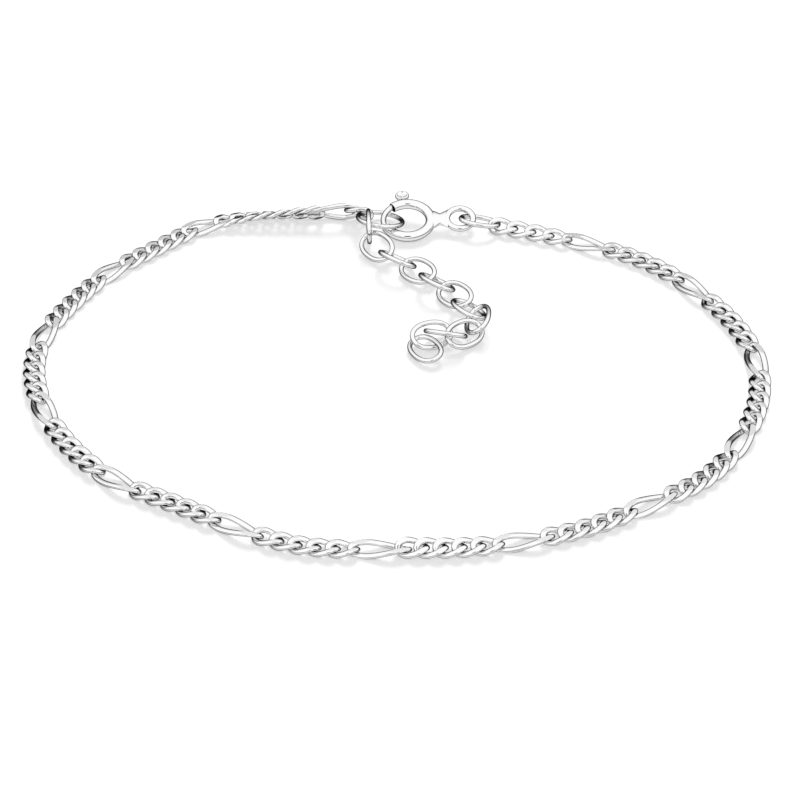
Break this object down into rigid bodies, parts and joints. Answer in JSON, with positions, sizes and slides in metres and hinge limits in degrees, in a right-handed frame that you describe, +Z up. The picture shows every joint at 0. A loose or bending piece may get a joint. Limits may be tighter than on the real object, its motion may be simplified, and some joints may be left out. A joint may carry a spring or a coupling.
{
  "type": "figaro chain bracelet",
  "caption": "Figaro chain bracelet in polished silver, closed in a loop by a spring ring clasp, with an oval link extension chain lying inside the loop.",
  "frame": {"origin": "middle of the footprint, on the surface the bracelet lies on", "axes": "+Z up from that surface, +Y from the front of the loop towards the clasp, +X to the right"},
  "size_m": [0.0652, 0.0518, 0.003],
  "materials": {
    "polished_silver": "polished sterling silver",
    "drawn_silver": "polished drawn silver wire"
  },
  "bodies": {
    "bracelet": {"figaro_chain_left": "polished_silver", "figaro_chain_right": "polished_silver", "lead_link": "polished_silver", "end_link": "drawn_silver", "clasp_ring": "polished_silver", "jump_ring": "drawn_silver", "extension_link_01": "drawn_silver", "extension_link_02": "drawn_silver", "extension_link_03": "drawn_silver", "extension_link_04": "drawn_silver", "extension_link_05": "drawn_silver", "extension_link_06": "drawn_silver", "extension_link_07": "drawn_silver", "extension_link_08": "drawn_silver", "extension_link_09": "drawn_silver", "extension_link_10": "drawn_silver", "extension_link_11": "drawn_silver", "extension_link_12": "drawn_silver"},
    "bolt": {"clasp_bolt": "drawn_silver"}
  },
  "joints": [
    {"name": "bolt_slide", "type": "hinge", "parent": "bracelet", "child": "bolt", "pos_m": [0.00107, 0.0222, 0.0009], "axis": [0, -0.1908, 0.9816], "range_deg": [-66, 0], "stiffness_Nm_per_rad": 0.002, "springref_deg": 5.73}
  ]
}
